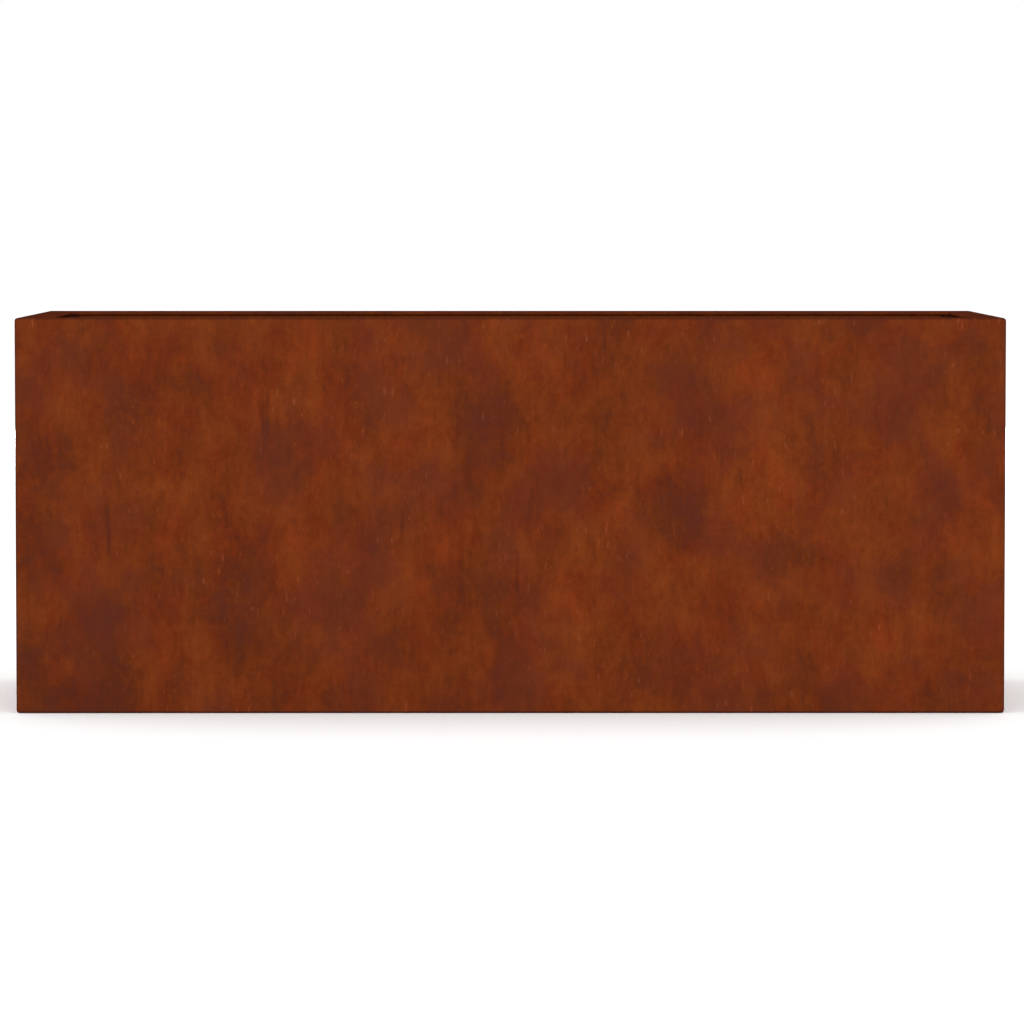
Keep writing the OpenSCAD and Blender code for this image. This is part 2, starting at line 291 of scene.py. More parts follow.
@dataclass(frozen=True)
class Finish:
    """A surface finish: one node material, made once."""

    name: str

    def material(self) -> bpy.types.Material:
        """The finish's material, built the first time that it is asked for.

        Returns:
            The material.
        """
        made = bpy.data.materials.get(self.name)
        if made is None:
            made = bpy.data.materials.new(self.name)
            made.use_nodes = True
            made.node_tree.nodes.clear()
            graph = Graph(made.node_tree)
            place = graph.add("ShaderNodeTexCoord", {}, {}, "Object")
            graph.add("ShaderNodeOutputMaterial", {}, {0: self.shade(graph, place)})
        return made

    def shade(self, g: Graph, place: Term) -> Term:
        """Builds the shader.

        Args:
            g: the material's graph.
            place: Object coordinates.

        Returns:
            The shader's output.
        """
        raise NotImplementedError


@dataclass(frozen=True)
class Stain:
    """A soft dark cloud on the front wall, in millimetres along the box and above the ground."""

    x: float
    z: float
    wide: float
    high: float


STAINS = (
    Stain(-20, 290, 40, 50),
    Stain(170, 210, 30, 60),
    Stain(-270, 110, 40, 70),
    Stain(-450, 20, 80, 60),
    Stain(-220, 260, 30, 50),
)


@dataclass(frozen=True)
class WeatheringSteel(Finish):
    """A closed rust patina: soft clouds, short dark runs, pale flecks and a fine grain, with painted shade
    on the rim and painted light under it where switched on.
    """

    low: Rgb = (68, 30, 13)
    mid: Rgb = (92, 40, 16)
    high: Rgb = (111, 51, 19)
    dusk: Rgb = (76, 34, 24)
    cloud: float = 1.0
    specular: float = 0.0
    rough: float = 0.82
    bump: float = 0.35
    stains: tuple[Stain, ...] = ()
    stain_depth: float = 0.22
    wet_holes: bool = False
    # painted shade on the rim, and thin darker lines down the corners and on the foot
    edge_line: bool = False
    # painted light under the rim: how strongly, and in what paler orange, the rim's shade on the inner
    # walls is lifted
    sheltered: float = 0.0
    orange: Rgb = (158, 76, 30)
    fleck: Rgb = (134, 74, 52)

    def shade(self, g: Graph, place: Term) -> Term:
        """Builds the patina from its tone, hue, roughness and grain.

        Args:
            g: the material's graph.
            place: Object coordinates.

        Returns:
            The shader's output.
        """
        x, y, z = place.split()
        drawn = place * (1.0, 1.0, 0.66)
        drift = g.noise(drawn, 7.0, 2.0, 0.5)
        clouds = g.noise(drawn, 28.0, 7.0, 0.74, 0.35)
        streaks = g.noise(place * (1.0, 1.0, 0.16), 190.0, 3.0, 0.6)
        flecks = g.noise(place * (1.0, 1.0, 0.3), 240.0, 1.0, 0.5)
        runs = g.noise(place * (1.0, 1.0, 0.13), 60.0, 2.0, 0.5, 0.4)
        patches = g.noise(place, 11.0, 1.0, 0.5)
        grain = g.noise(place, 900.0, 2.0, 0.6)
        mottle = g.noise(place * (1.0, 1.0, 0.8), 150.0, 4.0, 0.7)
        parts = ((drift, 0.45), (clouds, 1.6), (streaks, 0.38), (mottle, 0.55), (grain, 0.28))
        tone = sum((part - 0.5) * strength for part, strength in parts)
        dark_run = runs.smooth(0.62, 0.74) * patches.smooth(0.5, 0.66)
        pale = flecks.smooth(0.64, 0.76) * patches.smooth(0.42, 0.6)
        tone = (tone - dark_run * 0.36 + pale * 0.22) * self.cloud
        if self.stains:
            tone = tone + self._stains(g, x, y, z)
        if self.wet_holes:
            tone = tone - self._wet_rings(g, x, y)
        # painted shade: the rim darkened where it catches more light from above, with thin darker lines at
        # the corners and foot
        if self.edge_line:
            tone = tone - self._edges(x, y, z)
        stops = [(0.0, paint(self.low)), (0.5, paint(self.mid)), (1.0, paint(self.high))]
        body = g.add("ShaderNodeValToRGB", {"stops": stops}, {0: (tone + 0.5).clamp()})
        hue = g.noise(place * (1.0, 1.0, 0.8), 17.0, 3.0, 0.6)
        dusky = (hue.smooth(0.42, 0.7) * 0.5 + (-tone).smooth(0.1, 0.5) * 0.5).clamp()
        ruddy = g.noise(drawn, 24.0, 4.0, 0.66, 0.3)
        blush = (1.0, 0.82, 0.92, 1.0)
        colour = g.mix(ruddy.smooth(0.44, 0.6) * 0.7, body, blush, "MULTIPLY")
        colour = g.mix(dusky, colour, paint(self.dusk))
        colour = g.mix(pale * 0.16, colour, paint(self.fleck))
        # painted light: a paler orange laid on the inner walls just under the rim, lifting the shade that
        # the rim casts there
        if self.sheltered:
            colour = g.mix(self._sheltered(x, y, z) * self.sheltered, colour, paint(self.orange))
        height = grain * 0.6 + clouds * 0.8 + streaks * 0.3
        bump = g.bump(height, self.bump, 0.6 * MM)
        rough = (self.rough + (clouds - 0.5) * 0.22 + (grain - 0.5) * 0.10).clamp()
        return g.surface(colour, rough, bump, **{"Specular IOR Level": self.specular})

    def _stains(self, g: Graph, x: Term, y: Term, z: Term) -> Term:
        """The placed clouds, on the front face only, with ragged edges.

        Args:
            g: the material's graph.
            x: the place along the box.
            y: the place across it.
            z: the height.

        Returns:
            What they add to the tone, never above 0.
        """
        wobble = (g.noise(g.join(x, 0.0, z), 40.0, 3.0, 0.6) - 0.5) * 1.4
        total: "Term | None" = None
        for stain in self.stains:
            across = (x - stain.x * MM) / (stain.wide * MM)
            up = (z - stain.z * MM) / (stain.high * MM)
            lump = (across * across + up * up + wobble).smooth(1.5, 0.0) * -self.stain_depth
            total = lump if total is None else total + lump
        return total * y.under(5 * MM - HALF_WIDTH)

    @staticmethod
    def _wet_rings(g: Graph, x: Term, y: Term) -> Term:
        """Darker tide marks round the drain holes, which lie 100 mm apart in two rows.

        Args:
            g: the material's graph.
            x: the place along the tray.
            y: the place across it.

        Returns:
            What they take from the tone.
        """
        step, hole, ring = 100 * MM, 8 * MM, 45 * MM
        first, last = step * 0.5, step * 3.5
        off_x = x - (x / step + 0.5).call("FLOOR") * step
        off_y = abs(y) - step
        reach = (off_x * off_x + off_y * off_y).call("SQRT")
        return reach.smooth(ring, hole) * abs(x).over(first) * abs(x).under(last) * 0.3

    @staticmethod
    def _sheltered(x: Term, y: Term, z: Term) -> Term:
        """The band of the walls' inner faces close under the rim, where painted light lifts the shade that
        the rim casts.
        """
        inside = abs(x).under(HALF_LENGTH - 1 * MM) * abs(y).under(HALF_WIDTH - 1 * MM)
        return inside * z.smooth(TOP - 28 * MM, TOP - 12 * MM) * z.under(TOP - 4.5 * MM)

    @staticmethod
    def _edges(x: Term, y: Term, z: Term) -> Term:
        """Painted shade on the rim, darkened where it takes more light from above than the face, and a thin
        darker line down the corners and on the foot.

        Args:
            x: the place along the box.
            y: the place across it.
            z: the height.

        Returns:
            What they take from the tone.
        """
        near, at = 2.5 * MM, 0.5 * MM
        end = abs(x).smooth(HALF_LENGTH - near, HALF_LENGTH - at)
        side = abs(y).smooth(HALF_WIDTH - near, HALF_WIDTH - at)
        foot = z.smooth(3.5 * MM, 1 * MM)
        # painted shade along the top of the rim
        rim = z.smooth(TOP - 2.8 * MM, TOP - 0.4 * MM)
        return (end * side + foot).clamp() * 0.35 + rim * 0.4


@dataclass(frozen=True)
class DulledSteel(Finish):
    """Stainless steel left outdoors: grey, faintly brushed, with tea stains in the corners."""

    base: Rgb = (178, 176, 170)
    tea: Rgb = (128, 92, 64)

    def shade(self, g: Graph, place: Term) -> Term:
        """Builds the metal.

        Args:
            g: the material's graph.
            place: Object coordinates.

        Returns:
            The shader's output.
        """
        cloud = g.noise(place, 160.0, 4.0, 0.6)
        fine = g.noise(place, 1400.0, 2.0, 0.6)
        stained = (cloud.smooth(0.5, 0.72) * 0.65).clamp()
        colour = g.mix(stained, paint(self.base), paint(self.tea))
        rough = (0.42 + stained * 0.3 + (fine - 0.5) * 0.25).clamp()
        bump = g.bump(fine, 0.2, 0.1 * MM)
        return g.surface(colour, rough, bump, Metallic=0.85 - stained * 0.5)


@dataclass(frozen=True)
class MouldedRubber(Finish):
    """Matt black rubber with dust in its pores."""

    base: Rgb = (30, 30, 31)
    dust: Rgb = (92, 84, 76)

    def shade(self, g: Graph, place: Term) -> Term:
        """Builds the rubber.

        Args:
            g: the material's graph.
            place: Object coordinates.

        Returns:
            The shader's output.
        """
        pores = g.noise(place, 1100.0, 3.0, 0.6)
        drift = g.noise(place, 90.0, 4.0, 0.6)
        _, _, z = place.split()
        dusty = (drift.smooth(0.42, 0.75) * 0.45 + z.smooth(3 * MM, 0.0) * 0.3).clamp()
        colour = g.mix(dusty, paint(self.base), paint(self.dust))
        bump = g.bump(pores, 0.4, 0.2 * MM)
        rough = (0.78 + (pores - 0.5) * 0.2).clamp()
        return g.surface(colour, rough, bump, **{"Specular IOR Level": 0.35})


@dataclass(frozen=True)
class PaleFloor(Finish):
    """The studio floor."""

    def shade(self, g: Graph, place: Term) -> Term:
        """Builds a plain matt white."""
        sockets = {"Base Color": (0.92, 0.92, 0.92, 1.0), "Roughness": 1.0, "Specular IOR Level": 0.0}
        return g.add("ShaderNodeBsdfPrincipled", {}, sockets)


# the walls carry painted shade on the rim and painted light just under it
WALL_FINISH = WeatheringSteel("wall patina", stains=STAINS, edge_line=True, sheltered=0.8)
TRAY_FINISH = WeatheringSteel(
    "tray patina",
    low=(62, 32, 21),
    mid=(88, 41, 23),
    high=(112, 56, 30),
    dusk=(74, 46, 34),
    cloud=1.35,
    specular=0.12,
    bump=0.5,
    wet_holes=True,
)
FRAME_FINISH = WeatheringSteel(
    "frame patina",
    low=(66, 32, 20),
    mid=(92, 42, 22),
    high=(114, 52, 26),
    dusk=(78, 42, 30),
    cloud=1.2,
    specular=0.12,
    bump=0.45,
)
FASTENER_FINISH = DulledSteel("dulled stainless")
RUBBER_FINISH = MouldedRubber("moulded rubber")
FLOOR_FINISH = PaleFloor("pale floor")


# --- meshes --------------------------------------------------------------------------------------


class SheetPath:
    """The outer line of a folded sheet in a plane, drawn one flat or bend at a time.

    The sheet's thickness lies on the left of the line, which always turns left.
    """

    def __init__(self, start: Point2, heading: float) -> None:
        """Starts at a point, heading at an angle in degrees.

        Args:
            start: the first point.
            heading: the heading, in degrees from the first axis.
        """
        self.at = np.array(start, float)
        self.angle = math.radians(heading)
        self.points = [self.at.copy()]
        self.inward = [self._left()]

    def _left(self) -> np.ndarray:
        """The unit vector to the left of the heading."""
        return np.array([-math.sin(self.angle), math.cos(self.angle)])

    def _mark(self) -> None:
        """Records the present point."""
        self.points.append(self.at.copy())
        self.inward.append(self._left())

    def flat(self, length: float, steps: int = 1) -> "SheetPath":
        """Goes straight on.

        Args:
            length: how far.
            steps: how many equal steps it is drawn in.

        Returns:
            This path, so that calls can follow one another.
        """
        step = np.array([math.cos(self.angle), math.sin(self.angle)]) * length / steps
        for _ in range(steps):
            self.at = self.at + step
            self._mark()
        return self

    def bend(self, degrees: float, radius: float, steps: int = 6) -> "SheetPath":
        """Turns left about a centre that radius away.

        Args:
            degrees: the angle turned.
            radius: the outer line's radius.
            steps: how many chords it is drawn in.

        Returns:
            This path, so that calls can follow one another.
        """
        centre = self.at + self._left() * radius
        for _ in range(steps):
            self.angle += math.radians(degrees) / steps
            self.at = centre - self._left() * radius
            self._mark()
        return self

    def mesh(self, name: str) -> Mesh:
        """The line as loose edges in the YZ plane, with each point's inward direction stored.

        Args:
            name: the mesh's name.

        Returns:
            The mesh.
        """
        made = bpy.data.meshes.new(name)
        places = [(0.0, *p) for p in self.points]
        made.from_pydata(places, [(k, k + 1) for k in range(len(places) - 1)], [])
        stored = made.attributes.new("inward", "FLOAT_VECTOR", "POINT")
        stored.data.foreach_set("vector", np.array([(0.0, *n) for n in self.inward], np.float32).ravel())
        return made


class Grower:
    """A Geometry Nodes tree with named inputs, which turns a base mesh into a finished plain mesh."""

    def __init__(self, name: str, numbers: Sequence[str], counts: Sequence[str] = ()) -> None:
        """Makes the tree and its interface, which also takes the geometry and a material.

        Args:
            name: the tree's name.
            numbers: the names of its inputs that are any number.
            counts: the names of those that are whole numbers.
        """
        self.tree = bpy.data.node_groups.new(name, "GeometryNodeTree")
        face = self.tree.interface
        face.new_socket("Geometry", in_out="OUTPUT", socket_type="NodeSocketGeometry")
        inputs = [("Geometry", "Geometry"), ("Material", "Material")]
        inputs += [(label, "Float") for label in numbers] + [(label, "Int") for label in counts]
        for label, kind in inputs:
            face.new_socket(label, in_out="INPUT", socket_type=f"NodeSocket{kind}")
        self.g = Graph(self.tree)
        self.given = self.g.add("NodeGroupInput", {}, {}, "Geometry")

    def position(self) -> Term:
        """Each point's place."""
        return self.g.add("GeometryNodeInputPosition", {}, {})

    def named(self, name: str, kind: str = "FLOAT") -> Term:
        """A stored attribute, read by its name."""
        return self.g.add("GeometryNodeInputNamedAttribute", {"data_type": kind}, {"Name": name})

    def store(self, geometry: Term, name: str, value: Term) -> Term:
        """The geometry with a value stored on its points.

        Args:
            geometry: the geometry.
            name: the attribute's name.
            value: a number or a vector.

        Returns:
            The geometry with the attribute.
        """
        settings = {"data_type": "FLOAT_VECTOR" if value.is_vector else "FLOAT", "domain": "POINT"}
        sockets = {"Geometry": geometry, "Name": name, "Value": value}
        return self.g.add("GeometryNodeStoreNamedAttribute", settings, sockets)

    def sample(self, geometry: Term, value: Term, index: Term) -> Term:
        """A point's value in another geometry, by its index."""
        settings = {"data_type": "FLOAT_VECTOR" if value.is_vector else "FLOAT", "domain": "POINT"}
        return self.g.add("GeometryNodeSampleIndex", settings, {0: geometry, 1: value, 2: index})

    def grid(self, columns: Term, line: Term) -> tuple[Term, Term, Term]:
        """A sheet of points with a column for each station and a row for each point of a line.

        Args:
            columns: how many stations.
            line: the line, as loose edges.

        Returns:
            The sheet, each point's station and its place along the line.
        """
        count = self.g.add("GeometryNodeAttributeDomainSize", {"component": "MESH"}, {0: line})
        sheet = self.g.add("GeometryNodeMeshGrid", {}, {0: 1.0, 1: 1.0, 2: columns, 3: count})
        index = self.g.add("GeometryNodeInputIndex", {}, {})
        nudge = 0.0005  # keeps a whole quotient from falling to the number below
        station = (index / count + nudge).call("FLOOR")
        return sheet, station, index - station * count

    def move(self, geometry: Term, position: Term, selection: "Term | None" = None) -> Term:
        """The geometry with its selected points at new places.

        Args:
            geometry: the geometry.
            position: the new places.
            selection: the points to move, or None for all.

        Returns:
            The moved geometry.
        """
        sockets = {"Geometry": geometry, "Position": position}
        if selection is not None:
            sockets["Selection"] = selection
        return self.g.add("GeometryNodeSetPosition", {}, sockets)

    def close(self, geometry: Term, scratch: Iterable[str] = ()) -> None:
        """Ends the tree: realised, smooth, cleared of scratch attributes, with its material.

        Args:
            geometry: the finished shape.
            scratch: the attributes to remove.
        """
        g = self.g
        for name in scratch:
            geometry = g.add("GeometryNodeRemoveAttribute", {}, {"Geometry": geometry, "Name": name})
        geometry = g.add("GeometryNodeSetShadeSmooth", {}, {"Geometry": geometry, "Shade Smooth": True})
        geometry = g.add("GeometryNodeRealizeInstances", {}, {"Geometry": geometry})
        sockets = {"Geometry": geometry, "Material": self.given["Material"]}
        geometry = g.add("GeometryNodeSetMaterial", {}, sockets)
        g.add("NodeGroupOutput", {}, {0: geometry})

    def grow(
        self, name: str, base: Mesh, finish: Finish, values: dict[str, float], **rest: "float | Matrix"
    ) -> Piece:
        """Runs the tree on a base mesh.

        Args:
            name: the finished object's name.
            base: the mesh that the tree starts from.
            finish: the surface finish.
            values: each number's value by its input's name.
            rest: what finished() takes.

        Returns:
            An object with the result as a plain mesh.
        """
        holder = bpy.data.objects.new(name, base)
        modifier = holder.modifiers.new("grow", "NODES")
        modifier.node_group = self.tree
        given = {**values, "Material": finish.material()}
        for item in self.tree.interface.items_tree:
            if item.in_out == "INPUT" and item.name in given:
                modifier[item.identifier] = given[item.name]
        return finished(holder, **rest)


def finished(holder: Piece, edge: float = 0.0, turn: "Matrix | None" = None, clamp: bool = False) -> Piece:
    """Turns an object with modifiers into a plain mesh at the world's origin.

    Args:
        holder: the object, which may already have modifiers.
        edge: radius to round sharp edges to, or 0.
        turn: a matrix applied to the mesh.
        clamp: True to stop the rounding where edges crowd together.

    Returns:
        The same object, with its modifiers gone and their result as its mesh.
    """
    bpy.context.scene.collection.objects.link(holder)
    if edge:
        bevel = holder.modifiers.new("edge", "BEVEL")
        bevel.width = edge
        bevel.segments = 2
        bevel.limit_method = "ANGLE"
        bevel.angle_limit = SHARP
        bevel.use_clamp_overlap = clamp
        bevel.harden_normals = False
        weigh = holder.modifiers.new("weigh", "WEIGHTED_NORMAL")
        weigh.keep_sharp = True
    graph = bpy.context.evaluated_depsgraph_get()
    plain = bpy.data.meshes.new_from_object(
        holder.evaluated_get(graph), preserve_all_data_layers=True, depsgraph=graph
    )
    plain.name = holder.name
    holder.modifiers.clear()
    holder.data = plain
    if turn is not None:
        plain.transform(turn)
    if signed_volume(plain) < 0:
        plain.flip_normals()
    return holder


def signed_volume(mesh: Mesh) -> float:
    """The volume inside a closed mesh, negative if its faces point inwards.

    Args:
        mesh: the mesh.

    Returns:
        The volume in cubic metres.
    """
    mesh.calc_loop_triangles()
    corners = np.zeros(len(mesh.loop_triangles) * 3, np.int32)
    mesh.loop_triangles.foreach_get("vertices", corners)
    places = np.zeros(len(mesh.vertices) * 3)
    mesh.vertices.foreach_get("co", places)
    a, b, c = places.reshape(-1, 3)[corners.reshape(-1, 3)].transpose(1, 0, 2)
    return float(np.einsum("ij,ij->i", a, np.cross(b, c)).sum() / 6)


def wear(piece: Piece, body: str, slot: str, *nodes: str) -> None:
    """Fixes a finished piece to its body and hides the frame nodes that it stands for.

    Args:
        piece: the finished piece.
        body: the body that it moves with.
        slot: its material slot; not used.
        nodes: the frame nodes.
    """
    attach(piece, body)
    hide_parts(*nodes)
    faces = len(piece.data.polygons)
    log.info("%s: %d faces on body %s, for %s", piece.name, faces, body, ", ".join(nodes))


def merged_copy(node: str) -> bmesh.types.BMesh:
    """A frame node's triangles joined where they meet, in a copy.

    Args:
        node: the frame node.

    Returns:
        The copy, which the caller frees.
    """
    copy = bmesh.new()
    copy.from_mesh(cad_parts[node].data)
    bmesh.ops.remove_doubles(copy, verts=copy.verts, dist=TOUCHING)
    return copy


def from_frame(name: str, node: str, finish: Finish, edge: float, clamp: bool = False) -> Piece:
    """A frame node's own shape, merged, with its edges rounded and a finish.

    Args:
        name: the piece's name.
        node: the frame node to copy.
        finish: its finish.
        edge: radius that its sharp edges are rounded to.
        clamp: True to stop the rounding where edges crowd together.

    Returns:
        The finished piece.
    """
    copy = merged_copy(node)
    bmesh.ops.dissolve_limit(
        copy, angle_limit=FLAT, verts=copy.verts, edges=copy.edges, use_dissolve_boundaries=False
    )
    for face in copy.faces:
        face.smooth = True
    mesh = bpy.data.meshes.new(name)
    copy.to_mesh(mesh)
    copy.free()
    mesh.materials.append(finish.material())
    return finished(bpy.data.objects.new(name, mesh), edge, clamp=clamp)


def sheet_grower() -> Grower:
    """The tree that sweeps a folded sheet's outer line along X, thickens it and mitres its ends.

    Returns:
        The tree.
    """
    numbers = ("Length", "Flat Length", "Mitre Shift", "Mitre Slope", "Height", "Fold Height", "Thickness")
    tree = Grower("folded sheet", (*numbers, "Waviness", "Seed"), ("Stations",))
    g, given = tree.g, tree.given
    skin, station, on_line = tree.grid(given["Stations"], given)
    place = tree.position()
    outer = tree.sample(given, place, on_line)
    inward = tree.sample(given, tree.named("inward", "FLOAT_VECTOR"), on_line)
    skin = tree.store(skin, "along", station / (given["Stations"] - 1.0) * 2.0 - 1.0)
    skin = tree.store(skin, "outer", outer)
    skin = tree.store(skin, "inner", outer + inward * given["Thickness"])
    spread = place * (0.0, 0.0, 0.0) + g.join(tree.named("along"), 0.0, 0.0)
    at_outer = tree.named("outer", "FLOAT_VECTOR") + spread
    at_inner = tree.named("inner", "FLOAT_VECTOR") + spread
    skin = tree.move(skin, at_outer)
    # The new faces go to the inner line next, so how far they are lifted here has no effect.
    lift = {"Mesh": skin, "Offset Scale": 10 * MM, "Individual": False}
    raised = g.add("GeometryNodeExtrudeMesh", {"mode": "FACES"}, lift)
    raised = tree.move(raised, at_inner, raised["Top"])
    base = g.add("GeometryNodeFlipFaces", {}, {"Mesh": skin})
    both = g.add("GeometryNodeJoinGeometry", {}, {0: [raised, base]})
    share, depth, height = place.split()
    slack = 0.1 * MM
    folded = (
        height.under(given["Fold Height"] - slack)
        + height.over(given["Height"] - given["Fold Height"] + slack)
        + depth.over(given["Thickness"] + slack)
    ).clamp()
    mitred = given["Length"] * 0.5 - given["Mitre Shift"] - depth * given["Mitre Slope"]
    reach = mitred * folded + given["Flat Length"] * 0.5 * (1.0 - folded)
    swell = g.noise(g.join(share * given["Length"], given["Seed"], height), 3.4, 1.0, 0.4)
    # The sheet is held flat near its ends, its middle, its foot and its rim, and swells between them.
    held, free = 20 * MM, 90 * MM
    loose = abs(share).smooth(0.88, 0.7) * abs(share).smooth(0.05, 0.16)
    loose = loose * height.smooth(held, free) * height.smooth(TOP - held, TOP - free)
    dent = swell * loose * given["Waviness"] * (1.0 - folded)
    both = tree.move(both, g.join(share * reach, depth + dent, height))
    both = g.add("GeometryNodeMergeByDistance", {}, {"Geometry": both, "Distance": TOUCHING})
    tree.close(both, ("along", "outer", "inner", "inward"))
    return tree


class WallSide(Enum):
    """The four walls, each with the turn in degrees that takes the front's place to its own."""

    FRONT = 0
    RIGHT = 90
    REAR = 180
    LEFT = -90

    @property
    def label(self) -> str:
        """The name that the frame's nodes start with."""
        return self.name.lower()

    @property
    def long(self) -> bool:
        """True for the front and the rear."""
        return self in (WallSide.FRONT, WallSide.REAR)


@dataclass
class Walls:
    """The four folded wall panels, with their mitred rims, hems and foot returns."""

    sheet: float = 2 * MM
    fold_radius: float = 1 * MM
    hem_length: float = 10 * MM
    hem_gap: float = 0.5 * MM
    mitre_gap: float = 0.6 * MM
    butt_gap: float = 0.3 * MM
    fold_margin: float = 0.3 * MM
    edge: float = 0.25 * MM
    waviness: float = 0.35 * MM
    long_stations: int = 81
    end_stations: int = 33

    def line(self, rim: float, height: float) -> SheetPath:
        """The wall's outer line, from the hem's cut edge over the rim and down to the return.

        Args:
            rim: the rim's width.
            height: the wall's height.

        Returns:
            The line.
        """
        fold = self.fold_radius + self.sheet
        hem = self.hem_gap / 2 + self.sheet
        path = SheetPath((rim - hem - self.hem_length, height - 2 * hem), 0)
        path.flat(self.hem_length, steps=2).bend(180, hem, steps=10)
        path.flat(rim - hem - fold, steps=3).bend(90, fold)
        margin = self.fold_margin
        path.flat(margin).flat(height - 2 * fold - 2 * margin, steps=26).flat(margin)
        return path.bend(90, fold).flat(rim - fold, steps=2)

    def build(self, tree: Grower) -> None:
        """Makes the four walls.

        Args:
            tree: the folded sheet's tree.
        """
        low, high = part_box("front_panel")
        length, height = high.x - low.x, high.z
        rim = high.y - low.y
        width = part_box("rear_panel")[1].y - low.y
        for seed, side in enumerate(WallSide):
            span, across = (length, width) if side.long else (width, length)
            flat = span if side.long else span - 2 * (self.sheet + self.butt_gap)
            name = f"{side.label}_wall"
            values = {
                "Length": span,
                "Flat Length": flat,
                "Mitre Shift": self.mitre_gap / math.sqrt(2),
                "Mitre Slope": 1.0,
                "Height": height,
                "Fold Height": self.fold_radius + self.sheet,
                "Thickness": self.sheet,
                "Stations": self.long_stations if side.long else self.end_stations,
                "Waviness": self.waviness,
                "Seed": 1.7 * seed,
            }
            shift = Matrix.Translation((0, -across / 2, 0))
            turn = Matrix.Rotation(math.radians(side.value), 4, "Z") @ shift
            path = self.line(rim, height).mesh(name)
            piece = tree.grow(name, path, WALL_FINISH, values, edge=self.edge, turn=turn)
            wear(piece, "box", "corten_wall", f"{side.label}_panel")


def turned_grower() -> Grower:
    """The tree that turns a profile about its axis, with flats and threads, and stands one on each site.

    Returns:
        The tree.
    """
    tree = Grower("turned part", ("Thread Depth", "Thread Pitch", "Spin"), ("Around", "Seed"))
    g, given = tree.g, tree.given
    parted = g.add("GeometryNodeSeparateGeometry", {"domain": "POINT"}, {0: given, 1: tree.named("site")})
    places, line = parted, parted[1]
    skin, slice_of, on_line = tree.grid(given["Around"] + 1.0, line)
    skin = tree.store(skin, "turn", slice_of / given["Around"])
    place = tree.position()
    read = {"outer": place, "across": tree.named("reach"), "cut": tree.named("threaded")}
    for label, value in read.items():
        skin = tree.store(skin, label, tree.sample(line, value, on_line))
    radius, _, height = tree.named("outer", "FLOAT_VECTOR").split()
    turn = tree.named("turn") * math.tau
    sixth = math.pi / 3
    flat = tree.named("across") / ((turn % sixth) - sixth / 2).call("COSINE")
    wave = abs((height / given["Thread Pitch"] - tree.named("turn")) % 1.0 - 0.5) * 2.0
    radius = radius.call("MINIMUM", flat) - wave * tree.named("cut") * given["Thread Depth"]
    skin = tree.move(skin, g.join(radius * turn.call("COSINE"), radius * turn.call("SINE"), height))
    near = 0.004 * MM  # closes the seam and the poles, and is finer than any thread's rows
    skin = g.add("GeometryNodeMergeByDistance", {}, {"Geometry": skin, "Distance": near})
    way = tree.named("axis", "FLOAT_VECTOR")
    aim = g.add("FunctionNodeAlignRotationToVector", {"axis": "Z"}, {"Vector": way})
    span = {2: 0.0, 3: given["Spin"], 8: given["Seed"]}
    angle = g.add("FunctionNodeRandomValue", {"data_type": "FLOAT"}, span, 1)
    spin = g.add("FunctionNodeAxisAngleToRotation", {}, {"Axis": (0.0, 0.0, 1.0), "Angle": angle})
    facing = g.add("FunctionNodeRotateRotation", {"rotation_space": "LOCAL"}, {0: aim, 1: spin})
    stand = {"Points": places, "Instance": skin, "Rotation": facing}
    stood = g.add("GeometryNodeInstanceOnPoints", {}, stand)
    stood = g.add("GeometryNodeRealizeInstances", {}, {0: stood})
    tree.close(stood, ("site", "axis", "turn", "outer", "across", "cut", "reach", "threaded"))
    return tree


def bead_grower() -> Grower:
    """The tree that lays a rippled weld bead along loose edges.

    Returns:
        The tree.
    """
    tree = Grower("weld bead", ("Radius", "Ripple", "Ripples Per Metre", "Step", "Seed"))
    g, given = tree.g, tree.given
    path = g.add("GeometryNodeMeshToCurve", {}, {0: given})
    path = g.add("GeometryNodeResampleCurve", {"mode": "LENGTH"}, {"Curve": path, "Length": given["Step"]})
    place = tree.position()
    run = g.add("GeometryNodeSplineParameter", {}, {}, 1)
    wave = (run * given["Ripples Per Metre"] * math.tau).call("SINE")
    drift = g.noise(place + given["Seed"], 120.0, 2.0, 0.5) - 0.5
    thick = given["Radius"] * (wave * given["Ripple"] + drift * 0.35 + 1.0)
    round_bead = g.add("GeometryNodeCurvePrimitiveCircle", {}, {"Resolution": 10, "Radius": 1.0})
    sockets = {"Curve": path, "Profile Curve": round_bead, "Scale": thick, "Fill Caps": True}
    tree.close(g.add("GeometryNodeCurveToMesh", {}, sockets))
    return tree


@dataclass(frozen=True)
class Site:
    """Where one turned part stands: the middle of its foot, and the way that it points."""

    foot: Vector
    axis: Vector


def sites(node: str, slender: bool = False, upright: bool = True) -> list[Site]:
    """Finds the separate solids of a frame node.

    Args:
        node: the frame node.
        slender: True if the parts are longer than they are wide.
        upright: True if they stand on end, False if they point into the box from its sides.

    Returns:
        One site for each, which points towards the box's middle, or up.
    """
    copy = merged_copy(node)
    waiting = set(copy.verts)
    found = []
    while waiting:
        island, edge = [], [waiting.pop()]
        while edge:
            vert = edge.pop()
            island.append(vert.co.copy())
            for link in vert.link_edges:
                other = link.other_vert(vert)
                if other in waiting:
                    waiting.remove(other)
                    edge.append(other)
        low = Vector([min(co[k] for co in island) for k in range(3)])
        high = Vector([max(co[k] for co in island) for k in range(3)])
        size = high - low
        pick = max if slender else min
        along = 2 if upright else pick(range(3), key=lambda k: size[k])
        foot, axis = (low + high) / 2, Vector((0, 0, 0))
        axis[along] = 1.0 if upright or foot[along] < 0 else -1.0
        foot[along] = low[along] if axis[along] > 0 else high[along]
        found.append(Site(foot, axis))
    copy.free()
    return sorted(found, key=lambda site: tuple(round(v, 5) for v in site.foot))


